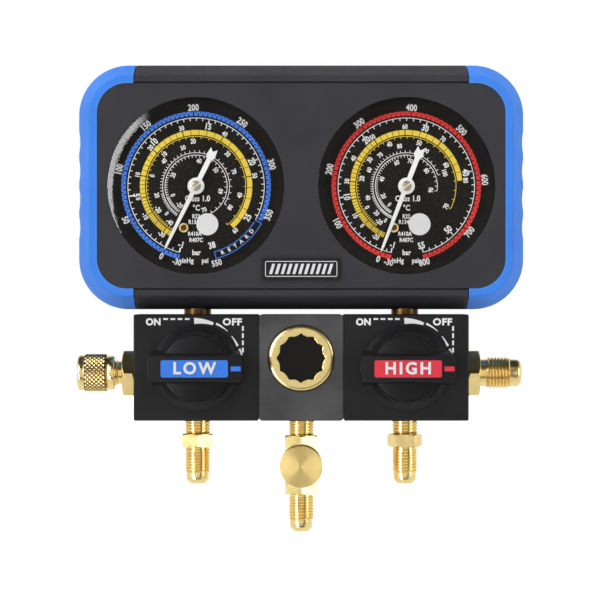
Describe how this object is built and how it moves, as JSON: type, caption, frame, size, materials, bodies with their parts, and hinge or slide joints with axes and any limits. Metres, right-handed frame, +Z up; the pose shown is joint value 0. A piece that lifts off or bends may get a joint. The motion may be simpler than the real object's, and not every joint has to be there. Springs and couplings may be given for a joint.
{
  "type": "refrigerant manifold gauge",
  "caption": "Refrigerant manifold with low- and high-pressure gauges in a bumpered housing, quarter-turn knobs, a sight glass and flare hose ports.",
  "frame": {"origin": "axis of the hanging hook's pin, midway between its ears on the back of the housing", "axes": "+Z up as it hangs, +X to the user's right, the dials face -Y"},
  "size_m": [0.191, 0.0598, 0.1996],
  "materials": {
    "housing_black": "moulded, fine matt texture",
    "bumper_blue": "satin moulded rubber",
    "badge_black": "gloss, bare, with a bright border",
    "screw_steel": "zinc plated",
    "case_black": "black enamel",
    "dial_black": "satin black print ground",
    "lens_clear": "clear moulded lens",
    "plug_white": "soft white plug",
    "pointer_white": "white enamel",
    "brass": "turned",
    "brass_dark": "dull, unpolished",
    "block_black": "black coat on machined bar",
    "seal_black": "oil-resistant rubber",
    "window_glass": "thick dark-backed sight glass",
    "knob_black": "moulded nylon",
    "insert_blue": "inlaid plate",
    "insert_red": "inlaid plate",
    "hook_steel": "bright zinc plate"
  },
  "bodies": {
    "manifold": {"front_cover": "housing_black", "rear_cover": "housing_black", "bumper_left": "bumper_blue", "bumper_right": "bumper_blue", "badge_plate": "badge_black", "housing_screws": "screw_steel", "gauge_case_low": "case_black", "gauge_dial_low": "dial_black", "gauge_lens_low": "lens_clear", "gauge_socket_low": "brass_dark", "bourdon_tube_low": "brass_dark", "movement_frame_low": "brass", "gauge_case_high": "case_black", "gauge_dial_high": "dial_black", "gauge_lens_high": "lens_clear", "gauge_socket_high": "brass_dark", "bourdon_tube_high": "brass_dark", "movement_frame_high": "brass", "tube_links": "brass", "valve_block_low": "block_black", "valve_block_high": "block_black", "sight_block": "block_black", "block_nipples": "brass", "block_seals": "seal_black", "tie_bolts": "screw_steel", "sight_ring": "brass", "sight_window": "window_glass", "sight_gasket": "seal_black", "gland_nut_low": "brass", "gland_nut_high": "brass", "hose_fitting_low": "brass", "hose_fitting_high": "brass", "service_tee": "brass", "side_fitting_left": "brass", "side_fitting_right": "brass", "port_cores": "brass", "hook_bracket": "hook_steel"},
    "knob_low": {"knob_low": "knob_black", "knob_insert_low": "insert_blue", "valve_spindle_low": "brass"},
    "knob_high": {"knob_high": "knob_black", "knob_insert_high": "insert_red", "valve_spindle_high": "brass"},
    "sector_low": {"sector_gear_low": "brass"},
    "pointer_low": {"pointer_low": "pointer_white", "pinion_low": "brass"},
    "zero_screw_low": {"zero_screw_low": "brass"},
    "lens_plug_low": {"lens_plug_low": "plug_white"},
    "sector_high": {"sector_gear_high": "brass"},
    "pointer_high": {"pointer_high": "pointer_white", "pinion_high": "brass"},
    "zero_screw_high": {"zero_screw_high": "brass"},
    "lens_plug_high": {"lens_plug_high": "plug_white"},
    "side_cap": {"side_cap": "brass", "side_cap_seal": "seal_black"},
    "service_cap": {"service_cap": "brass", "service_cap_seal": "seal_black"},
    "core_pin_side": {"core_pin_side": "hook_steel"},
    "core_pin_service": {"core_pin_service": "hook_steel"},
    "hanging_hook": {"hanging_hook": "hook_steel"}
  },
  "joints": [
    {"name": "knob_low_turn", "type": "hinge", "parent": "manifold", "child": "knob_low", "pos_m": [-0.0445, -0.0388, -0.11085], "axis": [0, -1, 0], "range_deg": [0, 90]},
    {"name": "knob_high_turn", "type": "hinge", "parent": "manifold", "child": "knob_high", "pos_m": [0.0445, -0.0388, -0.11085], "axis": [0, -1, 0], "range_deg": [0, 90]},
    {"name": "sector_low_swing", "type": "hinge", "parent": "manifold", "child": "sector_low", "pos_m": [-0.0445, -0.0312, -0.052], "axis": [0, 1, 0], "range_deg": [-39.83, 1.52], "stiffness_Nm_per_rad": 0.02},
    {"name": "pointer_low_turn", "type": "hinge", "parent": "manifold", "child": "pointer_low", "pos_m": [-0.0445, -0.0312, -0.034], "axis": [0, 1, 0], "range_deg": [-12.3, 318.7]},
    {"name": "sector_high_swing", "type": "hinge", "parent": "manifold", "child": "sector_high", "pos_m": [0.0445, -0.0312, -0.052], "axis": [0, 1, 0], "range_deg": [-40.67, 1.01], "stiffness_Nm_per_rad": 0.02},
    {"name": "pointer_high_turn", "type": "hinge", "parent": "manifold", "child": "pointer_high", "pos_m": [0.0445, -0.0312, -0.034], "axis": [0, 1, 0], "range_deg": [-8.2, 325.5]},
    {"name": "zero_screw_low_turn", "type": "hinge", "parent": "manifold", "child": "zero_screw_low", "pos_m": [-0.0497, -0.0372, -0.0515], "axis": [0, 1, 0], "range_deg": [-180, 180]},
    {"name": "lens_plug_low_pull", "type": "slide", "parent": "manifold", "child": "lens_plug_low", "axis": [0.0431, -0.9894, -0.1386], "range_m": [0, 0.008]},
    {"name": "zero_screw_high_turn", "type": "hinge", "parent": "manifold", "child": "zero_screw_high", "pos_m": [0.0393, -0.0372, -0.0515], "axis": [0, 1, 0], "range_deg": [-180, 180]},
    {"name": "lens_plug_high_pull", "type": "slide", "parent": "manifold", "child": "lens_plug_high", "axis": [0.0431, -0.9894, -0.1386], "range_m": [0, 0.008]},
    {"name": "side_cap_off", "type": "slide", "parent": "manifold", "child": "side_cap", "axis": [-1, 0, 0], "range_m": [0, 0.016]},
    {"name": "service_cap_off", "type": "slide", "parent": "manifold", "child": "service_cap", "axis": [0, -1, 0], "range_m": [0, 0.012]},
    {"name": "core_pin_side_press", "type": "slide", "parent": "manifold", "child": "core_pin_side", "axis": [1, 0, 0], "range_m": [0, 0.001], "stiffness_N_per_m": 60, "springref_m": -0.001},
    {"name": "core_pin_service_press", "type": "slide", "parent": "manifold", "child": "core_pin_service", "axis": [0, 1, 0], "range_m": [0, 0.001], "stiffness_N_per_m": 60, "springref_m": -0.001},
    {"name": "hanging_hook_swing", "type": "hinge", "parent": "manifold", "child": "hanging_hook", "pos_m": [0, 0, 0], "axis": [1, 0, 0], "range_deg": [0, 180]}
  ],
  "couplings": [
    {"joint": "pointer_low_turn", "follows": "sector_low_swing", "ratio": -8},
    {"joint": "pointer_high_turn", "follows": "sector_high_swing", "ratio": -8}
  ]
}
